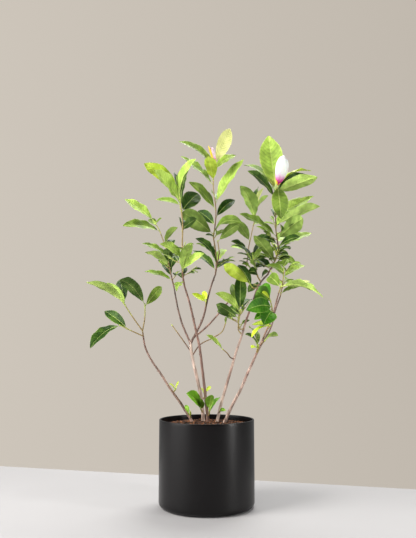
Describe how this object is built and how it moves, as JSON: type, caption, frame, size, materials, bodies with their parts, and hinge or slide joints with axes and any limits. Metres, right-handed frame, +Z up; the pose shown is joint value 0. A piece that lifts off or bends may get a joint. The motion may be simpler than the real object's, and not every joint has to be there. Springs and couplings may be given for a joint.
{
  "type": "potted jane magnolia",
  "caption": "Young multi-stemmed magnolia shrub with leaning canes, leafy tufts and a closed bloom, in a plain round black pot of soil.",
  "frame": {"origin": "centre of the pot's flat underside", "axes": "+Z up from the underside through the pot to the crown, +X to the right seen from the front, +Y to the back"},
  "size_m": [0.7143, 0.5439, 1.1809],
  "materials": {
    "pot": "satin black glaze",
    "soil": "damp bark chips",
    "brown_bark": "smooth thin bark",
    "pale_bark": "smooth thin bark",
    "leaf": "leathery, slightly glossy",
    "petal": "soft satin"
  },
  "bodies": {
    "root": {"pot": "pot", "soil": "soil", "left_cane": "brown_bark", "pale_cane": "pale_bark", "middle_cane": "brown_bark", "inner_right_cane": "pale_bark", "outer_right_cane": "pale_bark", "back_left_bough": "brown_bark", "centre_bough": "pale_bark", "back_right_bough": "pale_bark", "outer_bough": "pale_bark", "parallel_bough": "pale_bark", "left_tuft": "leaf", "back_left_tuft": "leaf", "back_left_top": "leaf", "middle_low_tuft": "leaf", "middle_top_tuft": "leaf", "centre_low_tuft": "leaf", "centre_mid_tuft": "leaf", "centre_top_tuft": "leaf", "back_right_tuft": "leaf", "back_right_top": "leaf", "inner_left_tuft": "leaf", "inner_back_tuft": "leaf", "side_leaf": "leaf", "inner_fork_tuft": "leaf", "inner_dark_pair": "leaf", "thicket_left": "leaf", "thicket_right": "leaf", "crown_low_tuft": "leaf", "crown_mid_tuft": "leaf", "crown_top_tuft": "leaf", "right_tuft": "leaf", "right_back_tuft": "leaf", "fork_tuft": "leaf", "fork_leaf": "leaf", "bright_tuft": "leaf", "yellow_pair": "leaf", "yellow_spur": "leaf", "bare_left_twig": "leaf", "bare_right_twig": "leaf", "left_cane_sprout": "leaf", "foot_left_sprout": "leaf", "foot_middle_sprout": "leaf", "foot_yellow_sprout": "leaf", "foot_right_sprout": "leaf", "soil_sprout": "leaf"}
  },
  "joints": []
}
